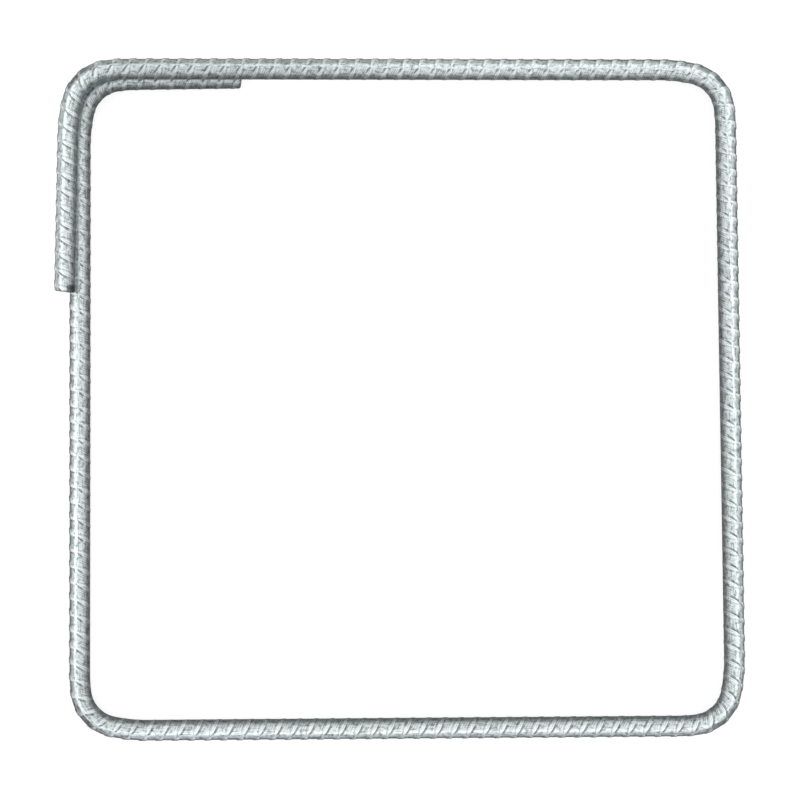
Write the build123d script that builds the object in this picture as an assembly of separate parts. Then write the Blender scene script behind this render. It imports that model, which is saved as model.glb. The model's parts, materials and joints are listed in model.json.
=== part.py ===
"""Square rebar stirrup: one length of ribbed wire, bent five times, with its two ends lapped.

Millimetres.  The hoop lies flat, +Z up, as it rests on a floor.  Its top bar lies toward +Y and its lapped
corner toward -X and +Y.  The origin is at the centre of the hoop's box, on the floor.
The wire is followed clockwise as seen from above, from its upper free end to its lower one.  A station is
a distance along it, and an angle about it is in degrees from straight up, positive towards the inside of
the hoop.

The ribs stand in three rows along the wire, each a third of the way round.  A rib is a slanting crescent:
full in the middle of its row, and run out to a point at each edge of it.  The skin is laid in flat facets
between straight lines along the wire, which run through every rib at its true slant, width and height.
"""
import os
from collections import namedtuple
from itertools import pairwise
from math import cos, pi, radians, sin, sqrt, tan

from build123d import *

# The wire under its ribs, and the broken edge of its cut ends.
core_diameter = 6.5
end_chamfer = 0.3

# The ribs.  Their widths are measured along the wire, and their slant from its axis.
rib_rows = 3
rib_pitch = 5.05
rib_height = 0.22
rib_foot_width = 2.5
rib_top_width = 1.3
rib_slant = 67.0
bare_end = 1.5
facets_per_row = 3

# The rows roll slowly about the wire's axis, first one way and then the other.
roll_mean = 32.0
roll_swing = 22.0
roll_period = 580.0
roll_peak_station = 240.0

# Every corner is drawn round the same pin of the bending table.  The wire starts to give before it meets
# the pin and springs a little behind it, so a bend eases in and out on wide arcs.
pin_diameter = 18.0
ease_in_turn = 12.0
ease_in_radius = 53.0
ease_out_turn = 7.0
ease_out_radius = 50.0
ease_gap = 0.2

# The legs, from corner to corner along the centre line, in the order that the wire takes.
upper_tail = 69.9
top_leg = 205.8
right_leg = 206.2
bottom_leg = 206.2
left_leg = 204.5
lower_tail = 50.7

# The heading of the upper tail, in degrees from +X, and how far each corner turns: bends fed by hand come
# out a little over or under a right angle.
upper_tail_heading = 88.8
upper_lap_turn = 88.8
top_right_turn = 89.05
bottom_right_turn = 90.5
bottom_left_turn = 90.5
lower_lap_turn = 89.2

# The lap.  The upper end lies over the lower one, beside it by no less than lap_side_offset, and the top
# bar comes down to the floor between the lower end and the next corner.
lap_clearance = 0.04
lap_side_offset = 2.6
ramp_start = 8.0
ramp_end = 10.0
ramp_bend_radius = 200.0

core_radius = core_diameter / 2
tip_radius = core_radius + rib_height
bend_radius = pin_diameter / 2 + tip_radius
bend_radii = [ease_in_radius, bend_radius, ease_out_radius]
lap_rise = sqrt((2 * tip_radius + lap_clearance) ** 2 - lap_side_offset**2)

# The facet lines stand just outside the round core, so that the facets enclose the same area as it does.
row_width = 360 / rib_rows
facet_width = radians(row_width / facets_per_row)
skin_radius = core_radius * sqrt(facet_width / sin(facet_width))


def leg_end(start, length, heading):
    """The far end of a level leg that runs from start at a heading in degrees from +X."""
    return start + Vector(length, 0, 0).rotate(Axis.Z, heading)


def arc_reach(turn, radius):
    """How far from its corner an arc that turns through so many degrees touches each of its legs."""
    return radius * tan(radians(turn) / 2)


def eased_bend(corner, heading, turn):
    """The three corners of an eased bend: where it eases in, turns round the pin and eases out."""
    pin_turn = turn - ease_in_turn - ease_out_turn
    pin_reach = arc_reach(pin_turn, bend_radius)
    side_in = arc_reach(ease_in_turn, ease_in_radius) + ease_gap + pin_reach
    side_out = pin_reach + ease_gap + arc_reach(ease_out_turn, ease_out_radius)
    sine_in, sine_out = sin(radians(ease_in_turn)), sin(radians(ease_out_turn))
    before = side_in * sin(radians(turn - ease_in_turn)) + side_out * sine_out
    after = side_out * sin(radians(turn - ease_out_turn)) + side_in * sine_in
    easing_in = leg_end(corner, -before / sin(radians(turn)), heading)
    round_pin = leg_end(easing_in, side_in, heading - ease_in_turn)
    easing_out = leg_end(corner, after / sin(radians(turn)), heading - turn)
    return [easing_in, round_pin, easing_out]


def wire_path():
    """The centre line, from the upper free end to the lower one: straight runs with tangent bends."""
    heading = upper_tail_heading
    upper_end = Vector(0, 0, lap_rise)
    upper_corner = leg_end(upper_end, upper_tail, heading)
    corners = eased_bend(upper_corner, heading, upper_lap_turn)
    heading -= upper_lap_turn
    corners.append(leg_end(upper_corner, lower_tail + ramp_start, heading))
    corner = leg_end(upper_corner, top_leg, heading) - Vector(0, 0, lap_rise)
    top_right_bend = eased_bend(corner, heading, top_right_turn)
    ramp_foot = -ramp_end - arc_reach(ease_in_turn, ease_in_radius)
    corners.append(leg_end(top_right_bend[0], ramp_foot, heading))
    corners += top_right_bend
    heading -= top_right_turn
    later_legs = [
        (right_leg, bottom_right_turn),
        (bottom_leg, bottom_left_turn),
        (left_leg, lower_lap_turn),
    ]
    for leg, turn in later_legs:
        corner = leg_end(corner, leg, heading)
        corners += eased_bend(corner, heading, turn)
        heading -= turn
    lower_end = leg_end(corner, lower_tail, heading)
    radii = bend_radii + [ramp_bend_radius] * 2 + bend_radii * 4
    return FilletPolyline(upper_end, *corners, lower_end, radius=radii)


path = wire_path()
wire_length = path.length

SkinPoint = namedtuple("SkinPoint", "station place")


def skin_point(station, angle, radius):
    """The point at a station, an angle about the wire and a radius from its axis."""
    centre = path.position_at(station, position_mode=PositionMode.LENGTH)
    along = path.tangent_at(station, position_mode=PositionMode.LENGTH)
    inward = along.cross(Vector(0, 0, 1)).normalized()
    upward = inward.cross(along)
    roll = roll_mean + roll_swing * cos(2 * pi * (station - roll_peak_station) / roll_period)
    turned = radians(angle + roll)
    return SkinPoint(station, centre + (upward * cos(turned) + inward * sin(turned)) * radius)


def row_angle(row):
    """The angle of the middle of a row."""
    return row_width * (row - rib_rows // 2)


def rib_stations(row, offset):
    """Where a row's ribs cross the line at an angle offset from the row's middle.

    A rib runs forward along the wire towards the outside of the hoop.  Every other row stands half a pitch
    on from the first.
    """
    slant_run = skin_radius / tan(radians(rib_slant))
    reach = slant_run * radians(row_width / 2)
    first = bare_end + reach + rib_pitch / 2 * (row % 2)
    count = int((wire_length - bare_end - reach - first) / rib_pitch) + 1
    return [first + rib_pitch * rib - slant_run * radians(offset) for rib in range(count)]


def line_ends(angle):
    """The start and finish of a line along the wire: the rim of the cut end, and the skin beside it."""
    rim_radius = skin_radius - end_chamfer
    start = [skin_point(0, angle, rim_radius), skin_point(end_chamfer, angle, skin_radius)]
    finish = [
        skin_point(wire_length - end_chamfer, angle, skin_radius),
        skin_point(wire_length, angle, rim_radius),
    ]
    return start, finish


def edge_line(row):
    """The points of the line between a row and the next, where the ribs of both run out."""
    angle = row_angle(row) + row_width / 2
    next_row = (row + 1) % rib_rows
    tips = {*rib_stations(row, row_width / 2), *rib_stations(next_row, -row_width / 2)}
    start, finish = line_ends(angle)
    return start + [skin_point(tip, angle, skin_radius) for tip in sorted(tips)] + finish


def row_edge(line, tips):
    """An edge line as one row has it: the gaps between its ribs, and its ribs, each a single point."""
    gaps = []
    for gap_start, gap_finish in pairwise([0, *tips, wire_length]):
        gaps.append([point for point in line if gap_start <= point.station <= gap_finish])
    return gaps, [[gap[-1]] for gap in gaps[:-1]]


def row_inside(row, offset):
    """A line inside a row: the gaps between its ribs, and its ribs, each cut through foot, top and foot."""
    angle = row_angle(row) + offset
    ribs = []
    for station in rib_stations(row, offset):
        foot = rib_foot_width / 2
        top = rib_top_width / 2
        section = [(-foot, skin_radius), (-top, tip_radius), (top, tip_radius), (foot, skin_radius)]
        ribs.append([skin_point(station + along, angle, radius) for along, radius in section])
    start, finish = line_ends(angle)
    gaps = [start + ribs[0][:1]]
    gaps += [[behind[-1], ahead[0]] for behind, ahead in pairwise(ribs)]
    gaps.append(ribs[-1][-1:] + finish)
    return gaps, ribs


def ladder(near, far):
    """The triangles between two chains of points that run along the wire side by side."""
    triangles = []
    near = list(near)
    far = list(far)
    while len(near) > 1 or len(far) > 1:
        if len(far) == 1 or (len(near) > 1 and near[1].station < far[1].station):
            triangles.append((near[0], far[0], near[1]))
            near.pop(0)
        else:
            triangles.append((near[0], far[0], far[1]))
            far.pop(0)
    return triangles


def row_facets(row):
    """The triangles of one row, between the edge it shares with the row before and the one after."""
    half_row = row_width / 2
    lines = [row_edge(edge_lines[row - 1], rib_stations(row, -half_row))]
    for line in range(1, facets_per_row):
        lines.append(row_inside(row, row_width * line / facets_per_row - half_row))
    lines.append(row_edge(edge_lines[row], rib_stations(row, half_row)))
    triangles = []
    for (near_gaps, near_ribs), (far_gaps, far_ribs) in pairwise(lines):
        for near, far in zip(near_gaps, far_gaps):
            triangles += ladder(near, far)
        for near, far in zip(near_ribs, far_ribs):
            if len(near) == len(far):
                for near_side, far_side in zip(pairwise(near), pairwise(far)):
                    triangles += ladder(near_side, far_side)
            else:
                triangles += ladder(near, far)
    return triangles


def end_face(end):
    """The flat face of a cut end, where end is 0 at the start of every line and -1 at its finish."""
    rim = []
    for row in range(rib_rows):
        rim.append(edge_lines[row - 1][end])
        for line in range(1, facets_per_row):
            angle = row_angle(row) + row_width * line / facets_per_row - row_width / 2
            start, finish = line_ends(angle)
            rim.append((start + finish)[end])
    return Face(Wire.make_polygon([point.place for point in rim]))


edge_lines = [edge_line(row) for row in range(rib_rows)]
facets = [end_face(0), end_face(-1)]
for row in range(rib_rows):
    for triangle in row_facets(row):
        facets.append(Face(Wire.make_polygon([point.place for point in triangle])))

stirrup = Solid(Shell(facets))
box = stirrup.bounding_box()
stirrup = stirrup.translate(-Vector(box.center().X, box.center().Y, box.min.Z))

os.makedirs("parts", exist_ok=True)
export_step(stirrup, "parts/stirrup.step", write_pcurves=False)
print("wire length", round(wire_length, 1), "box", stirrup.bounding_box().size)
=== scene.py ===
# %% [markdown]
# # A rebar stirrup, from bare wire to finished picture
#
# A stirrup is a square hoop that holds the long bars of a concrete column in their places. This one is a
# single length of bright ribbed wire, 6.5 mm thick, bent five times round the same pin, so that its two
# ends lap at one corner.
#
# The construction model already holds the hoop at its real size, with each rib laid in flat facets. What it
# lacks is the look of rolled steel: round flanks, soft feet under the ribs, sheared ends and a drawn
# finish. This lesson makes a finer skin for the same wire and puts it where the construction model lies.

# %% Load the construction model
import math

import bpy
import numpy as np
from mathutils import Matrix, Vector
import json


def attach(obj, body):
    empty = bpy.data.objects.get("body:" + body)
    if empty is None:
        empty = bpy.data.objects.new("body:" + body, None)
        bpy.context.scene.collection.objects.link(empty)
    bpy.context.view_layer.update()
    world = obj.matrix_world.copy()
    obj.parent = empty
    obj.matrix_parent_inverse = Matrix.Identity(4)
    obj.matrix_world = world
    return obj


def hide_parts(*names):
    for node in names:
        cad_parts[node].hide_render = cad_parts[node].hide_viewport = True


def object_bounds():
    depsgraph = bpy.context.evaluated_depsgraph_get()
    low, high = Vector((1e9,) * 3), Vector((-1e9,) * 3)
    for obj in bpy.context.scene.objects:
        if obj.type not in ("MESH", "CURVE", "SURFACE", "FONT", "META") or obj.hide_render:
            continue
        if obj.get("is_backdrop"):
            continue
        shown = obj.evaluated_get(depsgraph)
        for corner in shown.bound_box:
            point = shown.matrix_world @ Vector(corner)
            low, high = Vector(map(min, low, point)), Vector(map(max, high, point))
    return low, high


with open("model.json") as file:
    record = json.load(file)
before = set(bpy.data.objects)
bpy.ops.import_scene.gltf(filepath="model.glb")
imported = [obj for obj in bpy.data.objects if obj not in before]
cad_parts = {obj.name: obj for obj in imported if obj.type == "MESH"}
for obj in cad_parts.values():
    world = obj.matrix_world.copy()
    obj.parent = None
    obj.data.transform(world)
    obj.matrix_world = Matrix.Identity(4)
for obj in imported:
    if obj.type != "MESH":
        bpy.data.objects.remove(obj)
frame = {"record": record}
cad_low, cad_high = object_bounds()
MM = 0.001
print("construction model, mm:", [round(side / MM, 2) for side in cad_high - cad_low])

# %% [markdown]
# ## The centre line
#
# Everything about a bent wire hangs on its centre line. Here it is set out as a bender reads it off a
# drawing: so much wire, then a turn of so many degrees, then the next leg. Hand-fed corners come out a
# little over or under a right angle, which is why the hoop isn't quite square.
#
# It could be a Bezier curve with its handles nudged until it looks right, but then no bend would be the
# true arc of the pin. So the legs are straight runs between corners, and each corner is swapped for the arc
# that touches the runs on both sides of it. The wire's thickness and the pin's size come from the
# construction model, so that the two agree.

# %% Read the wire and the pin from the construction model
mounts = {mount["name"]: mount for mount in frame["record"]["mounts"]}
lap_seat = mounts["bar_seat_lapped"]
WIRE_OVER_RIBS = lap_seat["dims"]["length_mm"] * MM
PIN_RADIUS = lap_seat["dims"]["r_mm"] * MM
BEND_RADIUS = PIN_RADIUS + WIRE_OVER_RIBS / 2
# The upper end lies this much higher than the lower one.
LAP_RISE = (cad_high.z - cad_low.z) - WIRE_OVER_RIBS
print("bend radius, mm:", round(BEND_RADIUS / MM, 2), "rise at the lap, mm:", round(LAP_RISE / MM, 2))

# %% Write down the legs and turns, in the order that the wire takes
UPPER_TAIL = 69.9 * MM
TOP_LEG = 205.8 * MM
RIGHT_LEG = 206.2 * MM
BOTTOM_LEG = 206.2 * MM
LEFT_LEG = 204.5 * MM
LOWER_TAIL = 50.7 * MM

UPPER_TAIL_HEADING = 88.8
TURNS = {
    "upper lap": 88.8,
    "top right": 89.05,
    "bottom right": 90.5,
    "bottom left": 90.5,
    "lower lap": 89.2,
}
print("turned in all, degrees:", round(sum(TURNS.values()), 2))

# %% [markdown]
# ## Bends that ease in and out
#
# A bend isn't one clean arc. The wire starts to give before it meets the pin, and springs a little behind
# it. So each corner is three arcs: it eases in on a wide one, turns round the pin, and eases out on another
# wide one.
#
# The drawing gives a single corner, where two legs would meet. The three arcs need a corner each, and these
# cut the drawn one off. The arcs' own reaches tell how far apart the three are, and a little trigonometry
# tells how far before and after the drawn corner they leave the legs.

# %% Swap a drawn corner for three
EASE_IN_TURN = 12.0
EASE_IN_RADIUS = 53.0 * MM
EASE_OUT_TURN = 7.0
EASE_OUT_RADIUS = 50.0 * MM
# A short straight run between two arcs keeps them apart.
EASE_GAP = 0.2 * MM


def leg_end(start, length, heading):
    """The far end of a level leg that runs from start at a heading in degrees from +X."""
    turned = math.radians(heading)
    return start + length * Vector((math.cos(turned), math.sin(turned), 0))


def arc_reach(turn, radius):
    """How far from its corner an arc that turns through so many degrees touches each of its legs."""
    return radius * math.tan(math.radians(turn) / 2)


def sine(degrees):
    return math.sin(math.radians(degrees))


def eased_bend(corner, heading, turn):
    """The three turns of an eased bend, each with its radius: easing in, round the pin and easing out."""
    pin_reach = arc_reach(turn - EASE_IN_TURN - EASE_OUT_TURN, BEND_RADIUS)
    side_in = arc_reach(EASE_IN_TURN, EASE_IN_RADIUS) + EASE_GAP + pin_reach
    side_out = pin_reach + EASE_GAP + arc_reach(EASE_OUT_TURN, EASE_OUT_RADIUS)
    before = side_in * sine(turn - EASE_IN_TURN) + side_out * sine(EASE_OUT_TURN)
    after = side_out * sine(turn - EASE_OUT_TURN) + side_in * sine(EASE_IN_TURN)
    easing_in = leg_end(corner, -before / sine(turn), heading)
    round_pin = leg_end(easing_in, side_in, heading - EASE_IN_TURN)
    easing_out = leg_end(corner, after / sine(turn), heading - turn)
    return [(easing_in, EASE_IN_RADIUS), (round_pin, BEND_RADIUS), (easing_out, EASE_OUT_RADIUS)]


print("an easing arc reaches, mm:", round(arc_reach(EASE_IN_TURN, EASE_IN_RADIUS) / MM, 2))

# %% [markdown]
# ## Round the hoop
#
# Now the wire is walked from its upper end to its lower one. It starts one wire high, because the upper end
# lies on the lower one. The top leg comes down to the floor once it is past the lower end, and this ramp
# adds two corners of its own, so slight that they take a very wide arc.

# %% Walk from the upper end to the lower one
# The ramp starts this far past the lower end and ends this far before the next bend.
RAMP_START = 8.0 * MM
RAMP_END = 10.0 * MM
RAMP_BEND_RADIUS = 200.0 * MM

heading = UPPER_TAIL_HEADING
upper_end = Vector((0, 0, LAP_RISE))
corner = leg_end(upper_end, UPPER_TAIL, heading)
bends = eased_bend(corner, heading, TURNS["upper lap"])
heading -= TURNS["upper lap"]
bends.append((leg_end(corner, LOWER_TAIL + RAMP_START, heading), RAMP_BEND_RADIUS))
corner = leg_end(corner, TOP_LEG, heading) - Vector((0, 0, LAP_RISE))
top_right_bend = eased_bend(corner, heading, TURNS["top right"])
ramp_foot = leg_end(top_right_bend[0][0], -RAMP_END - arc_reach(EASE_IN_TURN, EASE_IN_RADIUS), heading)
bends.append((ramp_foot, RAMP_BEND_RADIUS))
bends += top_right_bend
heading -= TURNS["top right"]
for leg, name in ((RIGHT_LEG, "bottom right"), (BOTTOM_LEG, "bottom left"), (LEFT_LEG, "lower lap")):
    corner = leg_end(corner, leg, heading)
    bends += eased_bend(corner, heading, TURNS[name])
    heading -= TURNS[name]
lower_end = leg_end(corner, LOWER_TAIL, heading)
print("arcs:", len(bends))

# %% [markdown]
# ## From corners to arcs
#
# An arc that touches both runs of a corner leaves the first one a known distance before it, and its centre
# lies square to the run there. Each arc is laid in steps of a quarter of a degree, because the line is
# straight between two points and a coarser one would show as flats on the bends.
#
# The lengths from point to point, added up, give every point its station: how far along the wire it lies.

# %% Turn the corners into arcs
ARC_STEP = math.radians(0.25)


def arc_points(before, corner, after, radius):
    """Points along the arc of a radius that touches the legs on both sides of a corner."""
    into = (corner - before).normalized()
    out = (after - corner).normalized()
    turn = into.angle(out)
    start = corner - into * radius * math.tan(turn / 2)
    centre = start + radius * (out - into * into.dot(out)).normalized()
    steps = math.ceil(turn / ARC_STEP)
    return [
        centre + (start - centre) * math.cos(turn * i / steps) + into * radius * math.sin(turn * i / steps)
        for i in range(steps + 1)
    ]


corners = [upper_end] + [corner for corner, radius in bends] + [lower_end]
line_points = [upper_end]
for i, (corner, radius) in enumerate(bends, start=1):
    line_points += arc_points(corners[i - 1], corner, corners[i + 1], radius)
line_points.append(lower_end)
line_places = np.array(line_points)
line_steps = np.linalg.norm(np.diff(line_places, axis=0), axis=1)
line_stations = np.concatenate([[0], np.cumsum(line_steps)])
WIRE_LENGTH = line_stations[-1]
print("wire length, mm:", round(WIRE_LENGTH / MM, 1))

# %% [markdown]
# ## One rib
#
# The ribs are pressed into the wire by three grooved rollers, so they stand in three rows, each a third of
# the way round. A rib is a slanting crescent: full in the middle of its row, and narrower and lower towards
# both edges until it runs out. Its top is flat, its flanks are steep and its feet are rounded, because
# steel flows into a roller's groove without filling the sharp corner.
#
# Hundreds of ribs could be modelled one by one and pushed into a smooth tube, but each would meet it in a
# hard crease. Here a single patch of skin carries one rib, with the plain steel round it. It is laid out
# flat, like a piece of bark peeled off: along the wire, round the wire, and height. A grid is slanted so
# that its lines follow the rib, which keeps the flanks crisp with few faces.

# %% Add the patch of skin for one rib
STEPS_ALONG = 14
STEPS_ROUND = 12
bpy.ops.object.select_all(action="DESELECT")
bpy.ops.mesh.primitive_grid_add(x_subdivisions=STEPS_ALONG, y_subdivisions=STEPS_ROUND, size=1)
patch = bpy.context.object
patch.name = "ribbed_wire"
print("patch faces:", len(patch.data.polygons))

# %% Say where each step of the grid falls on the rib
CORE_RADIUS = 3.25 * MM
RIB_PITCH = 5.05 * MM
RIB_HEIGHT = WIRE_OVER_RIBS / 2 - CORE_RADIUS
RIB_FOOT = 2.5 * MM
RIB_TOP = 1.3 * MM
# A rib runs out this far short of its row's edge, as a share of the row's half width.
RIB_REACH = 0.94
# A flank narrows to this share of its width as the rib runs out.
TIP_FLANK = 0.6
# Counted in steps from a rib's middle line: where its flat top ends, and where its flank ends.
TOP_STEPS = 2
FOOT_STEPS = 5


def smooth(share):
    """0 up to nothing, 1 from all, and a soft rise between."""
    share = min(max(share, 0), 1)
    return share * share * (3 - 2 * share)


def rib_point(step, across):
    """Where a grid step from the rib's middle line falls along the wire, and how high the rib stands there.

    Two steps are half of the flat top, three the flank, and two the valley. Past the rib's tip they are
    even.
    """
    reach = min(abs(across) / RIB_REACH, 1)
    fullness = 1 - reach**2
    if fullness == 0:
        return step / STEPS_ALONG * RIB_PITCH, 0
    top = RIB_TOP / 2 * fullness
    foot = top + (RIB_FOOT - RIB_TOP) / 2 * (TIP_FLANK + (1 - TIP_FLANK) * fullness)
    along = np.interp(abs(step), (0, TOP_STEPS, FOOT_STEPS, STEPS_ALONG / 2), (0, top, foot, RIB_PITCH / 2))
    rise = RIB_HEIGHT * fullness * smooth((foot - along) / (foot - top))
    return math.copysign(along, step), rise


print("rib height, mm:", round(RIB_HEIGHT / MM, 2))

# %% Shape the patch, and keep each point's place on its rib as a UV map
RIB_ROWS = 3
ROW_WIDTH = 2 * math.pi / RIB_ROWS
# A rib moves on by this many steps of the grid from one edge of its row to the other.
SLANT_STEPS = 8
rib_places = []
for vertex in patch.data.vertices:
    across = vertex.co.y * 2
    along, rise = rib_point(vertex.co.x * STEPS_ALONG, across)
    slant = -across / 2 * SLANT_STEPS / STEPS_ALONG * RIB_PITCH
    vertex.co = (along + slant, across / 2 * ROW_WIDTH, rise)
    rib_places.append((along / MM, across))
rib_map = patch.data.uv_layers.new(name="rib_place")
for corner_of_face in patch.data.loops:
    rib_map.data[corner_of_face.index].uv = rib_places[corner_of_face.vertex_index]
print("slant along the wire, mm:", round(SLANT_STEPS / STEPS_ALONG * RIB_PITCH / MM, 2))

# %% [markdown]
# ## The wire's whole skin, still flat
#
# One patch, laid end to end, is a row of ribs. Three such rows side by side, with the middle one moved on
# by half a pitch, are the whole skin. The slant is a whole number of grid steps, and so is half a pitch, so
# the edges of neighbouring rows meet point to point and merge into one sheet.
#
# The sheet is made a little longer than the wire, with the spare hanging over both ends. It is cut off when
# the ends are sheared.

# %% Repeat the patch along the wire
SPARE = 2 * RIB_PITCH
MERGE_DISTANCE = 0.02 * MM
ribs_in_row = math.ceil((WIRE_LENGTH + 2 * SPARE) / RIB_PITCH)
row_of_ribs = patch.modifiers.new("row of ribs", "ARRAY")
row_of_ribs.use_relative_offset = False
row_of_ribs.use_constant_offset = True
row_of_ribs.constant_offset_displace = (RIB_PITCH, 0, 0)
row_of_ribs.count = ribs_in_row
row_of_ribs.use_merge_vertices = True
row_of_ribs.merge_threshold = MERGE_DISTANCE
bpy.ops.object.modifier_apply(modifier=row_of_ribs.name)
print("ribs in a row:", ribs_in_row)

# %% Lay three rows side by side and merge them
# The station of the first rib on the wire itself, in the two outer rows.
FIRST_RIB = 3.01 * MM
first_middle = FIRST_RIB - math.floor((FIRST_RIB + SPARE) / RIB_PITCH) * RIB_PITCH
rows = [patch]
for row in range(1, RIB_ROWS):
    bpy.ops.object.duplicate()
    rows.append(bpy.context.object)
for row, strip in enumerate(rows):
    moved_on = first_middle + (RIB_PITCH / 2 if row % 2 else 0)
    for vertex in strip.data.vertices:
        vertex.co.x += moved_on
        vertex.co.y += ROW_WIDTH * (row - RIB_ROWS // 2)
for strip in rows:
    strip.select_set(True)
bpy.context.view_layer.objects.active = patch
bpy.ops.object.join()
wire = bpy.context.object
bpy.ops.object.mode_set(mode="EDIT")
bpy.ops.mesh.select_all(action="SELECT")
bpy.ops.mesh.remove_doubles(threshold=MERGE_DISTANCE)
bpy.ops.object.mode_set(mode="OBJECT")
print("skin faces:", len(wire.data.polygons), "vertices:", len(wire.data.vertices))

# %% [markdown]
# ## Rolling the skin up and following the hoop
#
# Simple Deform could roll the sheet into a tube and a Curve modifier could lay the tube along the hoop. A
# few lines of sums do both at once, and put every point exactly where the construction model has it: how
# far along the wire, how far round it, and how far out from its middle.
#
# The rows of ribs don't run dead straight. Wire comes off its coil with a little roll in it, so the rows
# turn slowly one way and then back as they go round the hoop.
#
# Once it is rolled up, a point no longer knows where it lay on the sheet. So its flat lengths are kept
# first, as a UV map, and so are its share of a rib's height and its station, as attributes. Later these let
# the finish follow the wire round every bend.

# %% Keep what the flat sheet knows
mesh = wire.data
flat = np.empty(len(mesh.vertices) * 3)
mesh.vertices.foreach_get("co", flat)
flat = flat.reshape(-1, 3)
stations, angles, rises = flat.T

loop_vertices = np.empty(len(mesh.loops), dtype=int)
mesh.loops.foreach_get("vertex_index", loop_vertices)
unrolled = mesh.uv_layers.new(name="unrolled")
flat_lengths = np.column_stack([stations, angles * CORE_RADIUS])[loop_vertices] / MM
unrolled.data.foreach_set("uv", flat_lengths.ravel())


def keep_on_points(name, values):
    """Keep a value for every point of the wire's skin, as an attribute."""
    mesh.attributes.new(name, "FLOAT", "POINT").data.foreach_set("value", values)


keep_on_points("rib_share", rises / RIB_HEIGHT)
keep_on_points("station", stations)
print("unrolled length, mm:", round(float(np.ptp(stations)) / MM, 1))

# %% Find the middle of the wire, and its heading, for every point
# The line runs straight on past both ends, for the spare skin to follow.
RUN_ON = 1.0
LOOK_AHEAD = 0.05 * MM
start_heading = (line_places[1] - line_places[0]) / line_steps[0]
finish_heading = (line_places[-1] - line_places[-2]) / line_steps[-1]
place_before = line_places[0] - RUN_ON * start_heading
place_after = line_places[-1] + RUN_ON * finish_heading
long_places = np.vstack([place_before, line_places, place_after])
long_stations = np.concatenate([[-RUN_ON], line_stations, [WIRE_LENGTH + RUN_ON]])


def places_on_line(at):
    return np.column_stack([np.interp(at, long_stations, long_places[:, axis]) for axis in range(3)])


def unit(vectors):
    return vectors / np.linalg.norm(vectors, axis=1, keepdims=True)


centres = places_on_line(stations)
headings = unit(places_on_line(stations + LOOK_AHEAD) - places_on_line(stations - LOOK_AHEAD))
inward = unit(np.cross(headings, (0, 0, 1)))
upward = np.cross(inward, headings)
print("steepest slope of the ramp, degrees:", round(math.degrees(math.asin(-headings[:, 2].min())), 1))

# %% Roll the skin up along the centre line
ROLL_MEAN = math.radians(32)
ROLL_SWING = math.radians(22)
ROLL_PERIOD = 580 * MM
ROLL_PEAK_STATION = 240 * MM
roll = ROLL_MEAN + ROLL_SWING * np.cos(2 * np.pi * (stations - ROLL_PEAK_STATION) / ROLL_PERIOD)
keep_on_points("outward", -np.sin(angles + roll))
turned = (angles + roll)[:, None]
radii = (CORE_RADIUS + rises)[:, None]
rolled = centres + radii * (upward * np.cos(turned) + inward * np.sin(turned))
mesh.vertices.foreach_set("co", rolled.ravel())
mesh.update()

bpy.ops.object.mode_set(mode="EDIT")
bpy.ops.mesh.select_all(action="SELECT")
bpy.ops.mesh.remove_doubles(threshold=MERGE_DISTANCE)
bpy.ops.mesh.normals_make_consistent(inside=False)
bpy.ops.object.mode_set(mode="OBJECT")
print("rolled faces:", len(mesh.polygons), "vertices:", len(mesh.vertices))

# %% [markdown]
# ## The sheared ends
#
# The wire is cut off by a shear, not sawn. The blade leaves the cut a little out of square, drags the edge
# round where it went in and leaves a flat face. A Boolean with a box would cut the spare off too, but with
# an edge as sharp as a knife's. So each end is bisected by a leaning plane, a little short of its length,
# and its rim is drawn in and pushed out three times before it is closed, which makes the dragged edge.
#
# The wire's other end is open as well, so only the open edge near the cut is picked each time. Where the
# cut runs through ribs it leaves points almost on top of each other. They are merged before the rim is
# drawn in, or the thin faces between them would fold over.

# %% Pick the wire near a cut, and the open edge round it


def select_wire(first, last):
    """Select the faces whose points all lie between two stations."""
    near = np.empty(len(mesh.vertices))
    mesh.attributes["station"].data.foreach_get("value", near)
    for polygon in mesh.polygons:
        polygon.select = all(first < near[i] < last for i in polygon.vertices)


def select_rim(place):
    """Select the open edge round the cut at a place, and nothing else."""
    bpy.ops.mesh.select_mode(type="EDGE")
    bpy.ops.mesh.select_all(action="DESELECT")
    bpy.ops.mesh.select_non_manifold(
        use_wire=False, use_multi_face=False, use_non_contiguous=False, use_verts=False
    )
    bpy.ops.object.mode_set(mode="OBJECT")
    for vertex in mesh.vertices:
        vertex.select = vertex.select and (vertex.co - place).length < WIRE_OVER_RIBS
    for edge in mesh.edges:
        edge.select = edge.select and all(mesh.vertices[i].select for i in edge.vertices)
    bpy.ops.object.mode_set(mode="EDIT")


upper_cut, lower_cut = Vector(line_places[0]), Vector(line_places[-1])
print("between the two cuts, mm:", round((lower_cut - upper_cut).length / MM, 1))

# %% Shear both ends
SHEAR_LEAN = math.radians(6)
# How the rim is dragged round: drawn in to a share of its width, and pushed out.
DRAGGED_RIM = ((0.97, 0.32 * MM), (0.93, 0.20 * MM), (0.86, 0.10 * MM))
RIM_MERGE = 0.06 * MM
# How much wire before each cut the bisecting plane may touch.
END_REACH = 6 * MM


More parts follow.
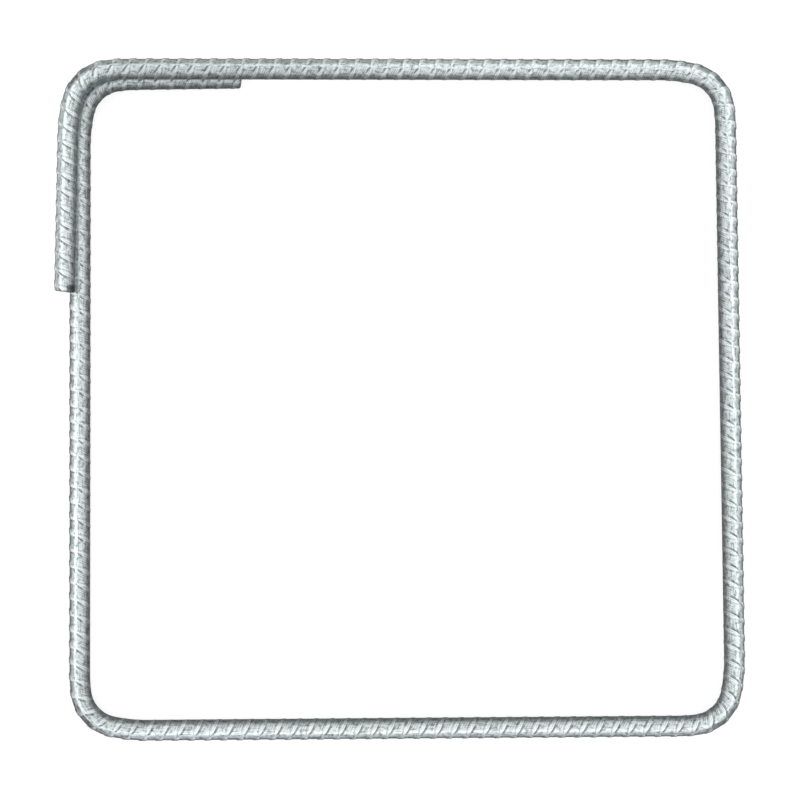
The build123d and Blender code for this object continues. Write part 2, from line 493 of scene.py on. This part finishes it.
def shear_end(place, heading, first, last):
    """Cut the wire square to a heading, leaning a little, and close the cut with a dragged rim."""
    bpy.ops.object.mode_set(mode="EDIT")
    bpy.ops.mesh.select_mode(type="FACE")
    bpy.ops.mesh.select_all(action="DESELECT")
    bpy.ops.object.mode_set(mode="OBJECT")
    select_wire(first, last)
    bpy.ops.object.mode_set(mode="EDIT")
    leaning = heading + math.tan(SHEAR_LEAN) * heading.cross((0, 0, 1))
    set_back = heading * sum(push_out for draw_in, push_out in DRAGGED_RIM)
    bpy.ops.mesh.bisect(plane_co=place - set_back, plane_no=leaning, clear_outer=True)
    select_rim(place)
    bpy.ops.mesh.remove_doubles(threshold=RIM_MERGE)
    select_rim(place)
    for draw_in, push_out in DRAGGED_RIM:
        bpy.ops.mesh.extrude_region_move(
            MESH_OT_extrude_region={"use_normal_flip": False},
            TRANSFORM_OT_translate={"value": heading * push_out},
        )
        bpy.ops.transform.resize(value=(draw_in,) * 3, center_override=place)
    bpy.ops.mesh.edge_face_add()
    bpy.ops.object.mode_set(mode="OBJECT")


# Further out than any of the spare reaches.
PAST_SPARE = 3 * SPARE
shear_end(upper_cut, -Vector(start_heading), -PAST_SPARE, END_REACH)
shear_end(lower_cut, Vector(finish_heading), WIRE_LENGTH - END_REACH, WIRE_LENGTH + PAST_SPARE)
print("faces after both cuts:", len(mesh.polygons))

# %% Turn the faces outwards and look for open edges
bpy.ops.object.mode_set(mode="EDIT")
bpy.ops.mesh.select_all(action="SELECT")
bpy.ops.mesh.delete_loose()
bpy.ops.mesh.select_all(action="SELECT")
bpy.ops.mesh.normals_make_consistent(inside=False)
bpy.ops.mesh.select_all(action="DESELECT")
bpy.ops.mesh.select_non_manifold()
bpy.ops.object.mode_set(mode="OBJECT")
print("open edges:", sum(edge.select for edge in mesh.edges), "faces:", len(mesh.polygons))

# %% [markdown]
# ## Putting it where the construction model lies
#
# The skin was set out from the wire's own end. The hoop's box tells where the construction model has it, so
# one move of every point brings the two together. Smoothing by angle rounds the ribs' flanks, and would
# leave a crease only where faces meet at more than 50 degrees.

# %% Move the wire to its place and hand it over
SMOOTH_BELOW = math.radians(50)
bpy.ops.object.shade_smooth_by_angle(angle=SMOOTH_BELOW)
points = np.empty(len(mesh.vertices) * 3)
mesh.vertices.foreach_get("co", points)
points = points.reshape(-1, 3)
low, high = points.min(axis=0), points.max(axis=0)
to_middle = (np.array(cad_low + cad_high) - low - high) / 2
to_middle[2] = cad_low.z - low[2]
mesh.vertices.foreach_set("co", (points + to_middle).ravel())
mesh.update()
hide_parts("stirrup")
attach(wire, "root")
print("box of the skin, mm:", [round(float(side) / MM, 2) for side in high - low])

# %% [markdown]
# ## Bright rolled steel
#
# The wire is drawn and rolled cold, so it comes bright, with no scale. A metallic shader with one colour
# and one roughness would look like chrome. Rolled wire looks the way it does because each part of a rib has
# met the rollers and the bending table differently, and because hands and dirt have been at it since. Some
# light and shade is painted into the colour as well: shade on the flanks and the sides, highlights on the
# rib tops.
#
# All of that could be painted in an image, but ribs this small would need a very large one. Here each part
# is told apart by sums on what the skin carries: a point's place across its rib and its row, how far it
# faces outward, and its station along the wire. A few helpers keep those sums readable.

# %% Start the steel's material
steel = bpy.data.materials.new("bright_rolled_steel")
steel.use_nodes = True
nodes = steel.node_tree.nodes
links = steel.node_tree.links
shader = nodes["Principled BSDF"]
# The scuffs are linked over this later. It stays for a tool that drops the link. This
# value stands wherever the link is missing.
shader.inputs["Metallic"].default_value = 1.0


def node(kind, **settings):
    made = nodes.new(kind)
    for name, value in settings.items():
        setattr(made, name, value)
    return made


def sums(operation, first, second=0.0):
    """A Math node's output, from inputs that are each a number or another node's output."""
    math_node = node("ShaderNodeMath", operation=operation)
    for socket, value in zip(math_node.inputs, (first, second)):
        if isinstance(value, bpy.types.NodeSocket):
            links.new(value, socket)
        else:
            socket.default_value = value
    return math_node.outputs["Value"]


def product(first, *others):
    """Numbers multiplied with each other."""
    for other in others:
        first = sums("MULTIPLY", first, other)
    return first


def as_share(value):
    """A value from -1 to 1, brought to the 0 to 1 of a colour ramp."""
    return sums("ADD", sums("MULTIPLY", value, 0.5), 0.5)


print("shader:", shader.name)

# %% Read what the skin carries
rib_axes = node("ShaderNodeSeparateXYZ")
links.new(node("ShaderNodeUVMap", uv_map="rib_place").outputs["UV"], rib_axes.inputs["Vector"])
# Millimetres from the rib's middle line, and from -1 to 1 across its row.
across_rib = rib_axes.outputs["X"]
across_row = rib_axes.outputs["Y"]
# From -1 on the wire's inner side, by 0 on its top, to 1 on its outer side.
outward = node("ShaderNodeAttribute", attribute_name="outward").outputs["Fac"]
outward_share = as_share(outward)
station = node("ShaderNodeAttribute", attribute_name="station").outputs["Fac"]
along_wire = sums("DIVIDE", station, float(WIRE_LENGTH))
print("kept on the skin:", [layer.name for layer in mesh.uv_layers], "nodes so far:", len(nodes))

# %% [markdown]
# ## Tops, flanks and valleys
#
# A rib shows as a bright top between two darker flanks, and the flank that faces back along the wire is the
# darkest. On ribs 0.2 mm high light alone hardly shows that, so each flank gets a painted shade of its own,
# laid into the colour.
#
# The shade goes by how far down its flank a point lies. That is measured from the edge of the rib's flat
# top, which narrows towards the tips with the same sum that shaped the rib, and a colour ramp turns the
# distance into a grey.

# %% Measure how far down its flank a point lies
# Millimetres from the edge of the flat top to where the ramp ends.
FLANK_WIDTH = 1.0
from_middle = sums("DIVIDE", sums("ABSOLUTE", across_row), RIB_REACH)
fullness = sums("SUBTRACT", 1.0, sums("POWER", from_middle, 2.0))
half_top = sums("MULTIPLY", sums("MAXIMUM", fullness, 0.0), RIB_TOP / 2 / MM)
from_top = sums("SUBTRACT", sums("ABSOLUTE", across_rib), half_top)
down_flank = sums("DIVIDE", from_top, FLANK_WIDTH)
print("half of a flat top, mm:", round(RIB_TOP / 2 / MM, 2))

# %% Tell ribs from valleys


def ramp(factor, *stops):
    """A colour ramp through stops of a place and a grey or a colour."""
    made = node("ShaderNodeValToRGB")
    elements = made.color_ramp.elements
    while len(elements) < len(stops):
        elements.new(0.5)
    for element, (place, colour) in zip(elements, stops):
        element.position = place
        element.color = (*colour, 1) if isinstance(colour, tuple) else (colour, colour, colour, 1)
    links.new(factor, made.inputs["Fac"])
    return made.outputs["Color"]


rib_near = ramp(fullness, (0.0, 0.0), (0.2, 1.0))
from_rib = sums("DIVIDE", sums("ABSOLUTE", across_rib), RIB_PITCH / 2 / MM)
valley_shade = ramp(from_rib, (0.58, 1.0), (0.80, 0.88))
print("nodes so far:", len(nodes))

# %% Paint shade on the flanks


def mixed(factor, first, second, blend="MIX"):
    """Two colours mixed, each a grey, a colour or another node's output."""
    mix = node("ShaderNodeMix", data_type="RGBA", blend_type=blend)
    for name, value in (("Factor", factor), ("A", first), ("B", second)):
        if isinstance(value, bpy.types.NodeSocket):
            links.new(value, mix.inputs[name])
        elif isinstance(value, tuple):
            mix.inputs[name].default_value = (*value, 1)
        elif name == "Factor":
            mix.inputs[name].default_value = value
        else:
            mix.inputs[name].default_value = (value, value, value, 1)
    return mix.outputs["Result"]


# Painted shade on the flanks: the back flank falls dark, the front one a little darker than the top.
back_shade = ramp(down_flank, (0.0, 1.0), (0.12, 0.42), (0.75, 0.42), (1.0, 1.0))
front_shade = ramp(down_flank, (0.0, 1.0), (0.15, 0.78), (0.45, 0.78), (0.64, 1.0))
# The back flank's painted shade is deepest along one half of the crescent.
deep_shade_half = ramp(as_share(across_row), (0.55, 1.0), (0.85, 0.4))
back_side = product(sums("LESS_THAN", across_rib, 0.0), deep_shade_half)
# The painted shades are a quarter as deep on the wire's two sides as on its top.
shade_depth = ramp(outward_share, (0.28, 0.25), (0.42, 1.0), (0.7, 1.0), (0.85, 0.25))
rib_shade = mixed(product(rib_near, shade_depth), 1.0, mixed(back_side, front_shade, back_shade))
print("nodes so far:", len(nodes))

# %% [markdown]
# ## The clouded skin
#
# Between the ribs the steel keeps a thin grey bloom from drawing, in clouds about a millimetre across and
# in streaks along the wire. The sides of the wire get a painted shade, deepest on the inner one. A
# noise texture on Object coordinates would cut straight through the bends. On the flat lengths that the
# skin carries, the same noise lies along the wire all the way round.
#
# The tops of the ribs are clean again. They have rubbed bright on the bending table, and carry a painted
# highlight as well, more on their back half than on their front and less on the wire's inner side.

# %% Lay clouds and streaks along the wire
flat_place = node("ShaderNodeUVMap", uv_map="unrolled").outputs["UV"]


def noise(scale, stretch=(1, 1, 1), detail=2.0):
    """Cloudy noise with so many clouds to a millimetre, stretched along the wire and round it."""
    mapping = node("ShaderNodeMapping")
    mapping.inputs["Scale"].default_value = stretch
    links.new(flat_place, mapping.inputs["Vector"])
    texture = node("ShaderNodeTexNoise")
    texture.inputs["Scale"].default_value = scale
    texture.inputs["Detail"].default_value = detail
    links.new(mapping.outputs["Vector"], texture.inputs["Vector"])
    return texture.outputs["Fac"]


CLOUDS_PER_MM = 0.85
STREAKS_PER_MM = 0.9
STREAK_STRETCH = (0.3, 2.2, 1.0)
clouds = noise(CLOUDS_PER_MM)
streaks = noise(STREAKS_PER_MM, stretch=STREAK_STRETCH)
print("nodes so far:", len(nodes))

# %% Tint the skin with the clouds and the streaks, and paint shade on its sides


def tinted(colour, *tints):
    """A colour with tints laid over it, each multiplied with what is under it."""
    for tint in tints:
        colour = mixed(1.0, colour, tint, blend="MULTIPLY")
    return colour


SMUDGE = (0.45, 0.51, 0.51)
BLOOM = (0.80, 0.88, 0.88)
CLEAN_STEEL = (0.915, 1.0, 1.0)
cloud_tint = ramp(clouds, (0.33, SMUDGE), (0.45, BLOOM), (0.54, CLEAN_STEEL))
streak_tint = ramp(streaks, (0.36, 0.6), (0.46, 1.0))
# Painted shade: darker at the wire's sides, most of all on the inner one.
side_painted_shade = ramp(outward_share, (0.10, 0.68), (0.25, 1.0), (0.75, 1.0), (0.9, 0.84))
clouded = tinted(cloud_tint, streak_tint, valley_shade, side_painted_shade)
print("nodes so far:", len(nodes))

# %% Rub the tops of the ribs bright, and paint a highlight on them
RUBBED_STEEL_HIGHLIGHT = (0.93, 1.0, 1.0)
rib_top = ramp(down_flank, (0.0, 1.0), (0.22, 0.0))
# The share runs from a millimetre behind the rib's middle line to a millimetre ahead of it.
back_half = ramp(as_share(across_rib), (0.55, 1.0), (0.72, 0.25))
off_inner_side = ramp(outward_share, (0.28, 0.2), (0.45, 1.0))
# Partly rubbed steel, partly painted highlight on the rib tops, faint on the wire's inner side.
polish_and_highlight = product(rib_top, back_half, rib_near, off_inner_side)
ribbed = tinted(mixed(polish_and_highlight, clouded, RUBBED_STEEL_HIGHLIGHT), rib_shade)
print("nodes so far:", len(nodes))

# %% [markdown]
# ## Darker in places
#
# The wire isn't equally bright from end to end. It is darker along the top leg from the lap on and at the
# foot of the left leg, and the lower tail, which lies under the top leg, gets a painted shade. The upper
# end is darker at its inner corner. A noise texture would put such marks anywhere. The station puts them in
# their places, as a share of the wire's length.

# %% Darken stretches of the wire, and paint shade on the lower tail
TOP_LEG_DARKER = ((0.075, 1.0), (0.09, 0.80), (0.15, 0.80), (0.20, 1.0))
LEFT_FOOT_DARKER = ((0.70, 1.0), (0.735, 0.88), (0.80, 1.0))
# Painted shade on the lower tail, where it lies under the top leg.
LOWER_TAIL_SHADE = ((0.925, 1.0), (0.95, 0.74))
darkened_stretches = tinted(ribbed, ramp(along_wire, *TOP_LEG_DARKER, *LEFT_FOOT_DARKER, *LOWER_TAIL_SHADE))
print("nodes so far:", len(nodes))

# %% Darken the inner corner of the upper end
END_CORNER_REACH = 4 * MM
END_CORNER_TINT = 0.3
end_corner_along = ramp(sums("DIVIDE", station, END_CORNER_REACH), (0.5, 1.0), (0.62, 0.0))
end_corner_across = ramp(outward_share, (0.36, 1.0), (0.46, 0.0))
corner_darkened = tinted(darkened_stretches, mixed(product(end_corner_along, end_corner_across), 1.0, END_CORNER_TINT))
print("nodes so far:", len(nodes))

# %% [markdown]
# ## The groove at the lap
#
# Where the upper tail lies beside the left leg, the two wires rub each time that the hoop is handled. The
# lower one is scuffed in the groove between them, and its ribs are rubbed bright there and carry a painted
# highlight, where the upper wire shades them. Two ramps find the groove: one along the wire, and one across
# it.

# %% Rub the ribs bright in the groove, and paint a highlight on them
GROOVE_RUBBED_HIGHLIGHT = (0.97, 1.0, 1.0)
beside_tail = ramp(along_wire, (0.868, 0.0), (0.878, 1.0), (0.935, 1.0), (0.95, 0.0))
facing_tail = ramp(outward_share, (0.46, 0.0), (0.56, 1.0), (0.72, 1.0), (0.8, 0.0))
in_groove = product(beside_tail, facing_tail)
on_rib_top = product(ramp(down_flank, (0.0, 1.0), (0.3, 0.0)), rib_near)
# Rubbed bright and painted highlight: the rib tops in the groove turn pale, in the upper wire's shadow.
groove_rub_and_highlight = product(in_groove, on_rib_top)
# The colour so far, with the painted shades and highlights laid on above.
worn_and_painted_light = mixed(groove_rub_and_highlight, corner_darkened, GROOVE_RUBBED_HIGHLIGHT)
print("nodes so far:", len(nodes))

# %% [markdown]
# ## The rollers' fine lines
#
# The rollers are turned on a lathe, and their tool marks print through as fine lines beside each rib,
# parallel to it. They show in patches, mostly on the wire's inner half. As geometry they would need many
# times the faces, so they are a wave on the place across the rib, which tints the colour and feeds the
# bump.

# %% Draw the fine lines and join the colour up
# Millimetres from line to line.
LINE_SPACING = 0.72
PATCHES_PER_MM = 0.35
lines = sums("SINE", sums("MULTIPLY", across_rib, 2 * math.pi / LINE_SPACING))
line_patches = ramp(noise(PATCHES_PER_MM, detail=1.0), (0.38, 0.0), (0.5, 1.0))
inner_half = ramp(outward_share, (0.12, 0.4), (0.25, 1.0), (0.45, 1.0), (0.58, 0.15))
line_height = product(lines, line_patches, inner_half)
line_tint = ramp(as_share(line_height), (0.0, 0.6), (0.4, 1.0))
links.new(tinted(worn_and_painted_light, line_tint), shader.inputs["Base Color"])
print("nodes so far:", len(nodes))

# %% Press the lines and the clouds into the surface
RELIEF_DEPTH = 0.03 * MM
LINE_RELIEF = 0.5
CLOUD_RELIEF = 1.5
bump = node("ShaderNodeBump")
bump.inputs["Distance"].default_value = RELIEF_DEPTH
relief = sums("ADD", product(line_height, LINE_RELIEF), product(clouds, CLOUD_RELIEF))
links.new(relief, bump.inputs["Height"])
links.new(bump.outputs["Normal"], shader.inputs["Normal"])
print("relief, mm deep:", RELIEF_DEPTH / MM)

# %% [markdown]
# ## Smooth tops and scuffs
#
# The rollers burnish the flat tops, and the valleys stay a little rougher. So the roughness goes by the
# share of the rib's height.
#
# A scuff is bare steel broken up so finely that it no longer mirrors. More roughness alone leaves it dark
# where there is nothing bright to mirror, while a real scuff shows pale from everywhere. Taking away part
# of the shader's metal does that. The ribs are scuffed on the wire's outer side, which drags over the
# ground, and in the groove at the lap.

# %% Make the valleys rougher than the tops
VALLEY_ROUGHNESS = 0.34
TOP_ROUGHNESS = 0.22
rib_height_share = node("ShaderNodeAttribute", attribute_name="rib_share").outputs["Fac"]
dullness = node("ShaderNodeMapRange")
dullness.inputs["To Min"].default_value = VALLEY_ROUGHNESS
dullness.inputs["To Max"].default_value = TOP_ROUGHNESS
links.new(rib_height_share, dullness.inputs["Value"])
links.new(dullness.outputs["Result"], shader.inputs["Roughness"])
print("nodes so far:", len(nodes))

# %% Scuff the outer side and the groove, and put the steel on the wire
# How much of the mirror each scuff takes away.
OUTER_SCUFF = 0.42
GROOVE_SCUFF = 0.4
GROOVE_TOP_SCUFF = 0.15
on_outer_side = ramp(outward, (0.15, 0.4), (0.4, 1.0), (0.62, 1.0), (0.9, 0.3))
outer_scuff = product(on_rib_top, on_outer_side, OUTER_SCUFF)
groove_scuff = sums("ADD", product(in_groove, GROOVE_SCUFF), product(groove_rub_and_highlight, GROOVE_TOP_SCUFF))
scuffed = sums("ADD", outer_scuff, groove_scuff)
links.new(sums("SUBTRACT", 1.0, scuffed), shader.inputs["Metallic"])
wire.data.materials.clear()
wire.data.materials.append(steel)
print("material nodes:", len(nodes))

# %% [markdown]
# ## The floor
#
# A bright wire is only as good as what it mirrors. On a white sheet it would mirror white from every side
# and vanish. So the floor is a light table: a pale sheet that glows a little, which keeps shadows faint,
# and that the steel doesn't mirror, as if the hoop stood well clear of it.

# %% Lay the floor
# Metres, so that its edges are out of every view.
FLOOR_SIDE = 12
FLOOR_TONE = 0.4
FLOOR_ROUGHNESS = 0.9
FLOOR_GLOW = 0.78
bpy.ops.object.select_all(action="DESELECT")
bpy.ops.mesh.primitive_plane_add(size=FLOOR_SIDE, location=(0, 0, 0))
floor = bpy.context.object
floor.name = "floor"
floor.visible_glossy = False
opal = bpy.data.materials.new("pale_light_table")
opal.use_nodes = True
opal_shader = opal.node_tree.nodes["Principled BSDF"]
opal_shader.inputs["Base Color"].default_value = (FLOOR_TONE, FLOOR_TONE, FLOOR_TONE, 1)
opal_shader.inputs["Roughness"].default_value = FLOOR_ROUGHNESS
opal_shader.inputs["Emission Color"].default_value = (1, 1, 1, 1)
opal_shader.inputs["Emission Strength"].default_value = FLOOR_GLOW
floor.data.materials.append(opal)
floor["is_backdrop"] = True
print("floor, m:", FLOOR_SIDE)

# %% [markdown]
# ## Light
#
# One lamp overhead would show in round wire as a thin white line with black on both sides of it. Three
# kinds of soft light share the work instead. A dome, dim at the horizon and brighter overhead, gives the
# top of the wire its even grey. Beyond each side of the hoop hangs a long soft light with a grid, which
# lights its own side and hardly reaches the far one. And beside each side lies a pale card with its far
# edge propped up, for the wire's outer flank to mirror. Outer faces are bright then, and inner edges fall
# dark.
#
# The cards are lights too, hidden from the camera, because a light's brightness is easier to set than that
# of a sheet which has to be lit itself.

# %% Hang the dome
DOME_HORIZON = 0.22
DOME_OVERHEAD = 0.95
# The height in the dome, from 0 at the horizon to 1 overhead, up to which it stays dim.
DOME_DIM_BELOW = 0.1
world = bpy.data.worlds.new("studio")
bpy.context.scene.world = world
world.use_nodes = True
sky_nodes = world.node_tree.nodes
sky_links = world.node_tree.links
direction = sky_nodes.new("ShaderNodeTexCoord")
sky_axes = sky_nodes.new("ShaderNodeSeparateXYZ")
sky_links.new(direction.outputs["Generated"], sky_axes.inputs["Vector"])
dome = sky_nodes.new("ShaderNodeValToRGB")
dome.color_ramp.interpolation = "EASE"
for element, place, tone in zip(
    dome.color_ramp.elements, (DOME_DIM_BELOW, 1.0), (DOME_HORIZON, DOME_OVERHEAD)
):
    element.position = place
    element.color = (tone, tone, tone, 1)
sky_links.new(sky_axes.outputs["Z"], dome.inputs["Fac"])
sky_links.new(dome.outputs["Color"], sky_nodes["Background"].inputs["Color"])
print("dome, from horizon to overhead:", DOME_HORIZON, "to", DOME_OVERHEAD)

# %% Make a soft light to order


def soft_light(name, place, aim, length, width, brightness, spread=math.pi, colour=(1, 1, 1)):
    """A long soft light at a place, facing along an aim, with its length level."""
    light = bpy.data.lights.new(name, "AREA")
    light.color = colour
    light.shape = "RECTANGLE"
    light.size = length
    light.size_y = width
    # A sheet that glows with a brightness of 1 gives off pi watts to the square metre.
    light.energy = math.pi * length * width * brightness
    light.spread = spread
    lamp = bpy.data.objects.new(name, light)
    bpy.context.scene.collection.objects.link(lamp)
    lamp.location = place
    lamp.rotation_euler = Vector(aim).to_track_quat("-Z", "Y").to_euler()
    lamp.visible_camera = False


print("lights before the sides are set:", len(bpy.data.lights))

# %% Set a soft light and a card at each side
SIDE_DISTANCE = 250 * MM
SIDE_HEIGHT = 70 * MM
SIDE_AIM = math.radians(60)
SIDE_LENGTH = 500 * MM
SIDE_WIDTH = 160 * MM
GRID_ANGLE = math.radians(100)
CARD_GAP = 12 * MM
CARD_REACH = 60 * MM
CARD_RISE = 24 * MM
CARD_LENGTH = 220 * MM
# Each side: its direction, how bright its light and its card are, and the tint of the card.
SIDES = {
    "left": ((-1, 0, 0), 0.40, 0.50, (1, 1, 1)),
    "right": ((1, 0, 0), 0.28, 0.48, (1, 1, 1)),
    "front": ((0, -1, 0), 0.29, 0.46, (0.89, 0.89, 1.0)),
    "back": ((0, 1, 0), 0.21, 0.42, (0.97, 1.0, 0.955)),
}

middle = (cad_low + cad_high) / 2
for name, (out, light_brightness, card_brightness, card_tint) in SIDES.items():
    out = Vector(out)
    place = middle + SIDE_DISTANCE * out + Vector((0, 0, SIDE_HEIGHT))
    aim = -out * math.cos(SIDE_AIM) - Vector((0, 0, math.sin(SIDE_AIM)))
    soft_light(f"{name}_light", place, aim, SIDE_LENGTH, SIDE_WIDTH, light_brightness, spread=GRID_ANGLE)
    half_hoop = abs((cad_high - cad_low).dot(out)) / 2
    card_place = out * (half_hoop + CARD_GAP + CARD_REACH / 2) + Vector((0, 0, CARD_RISE / 2))
    card_aim = CARD_REACH * Vector((0, 0, 1)) - CARD_RISE * out
    card_size = (CARD_LENGTH, math.hypot(CARD_REACH, CARD_RISE))
    soft_light(f"{name}_card", card_place, card_aim, *card_size, card_brightness, colour=card_tint)
print("lights and cards:", len(bpy.data.lights))

# %% [markdown]
# ## The camera
#
# The hoop is seen straight from above. A short lens would look at the legs' inner flanks and make the
# raised lap seem larger, so a very long lens stands far off. How far follows from how wide a piece of the
# floor it has to show.

# %% Place the camera
FRAME_WIDTH = 251.3 * MM
# Millimetres, as a lens is sold.
LENS = 450
camera_data = bpy.data.cameras.new("camera")
camera_data.lens = LENS
camera = bpy.data.objects.new("camera", camera_data)
bpy.context.scene.collection.objects.link(camera)
camera.location = middle + Vector((0, 0, FRAME_WIDTH * LENS / camera_data.sensor_width))
bpy.context.scene.camera = camera
bpy.context.scene.view_settings.view_transform = "Standard"
print("camera height, m:", round(camera.location.z, 3))

# %% [markdown]
# ## The size, and the end
#
# A finer skin must not change the size of the thing. So the box of the construction model and that of the
# dressed one are written side by side before the scene is finished.

# %% Finish
import json

low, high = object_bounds()
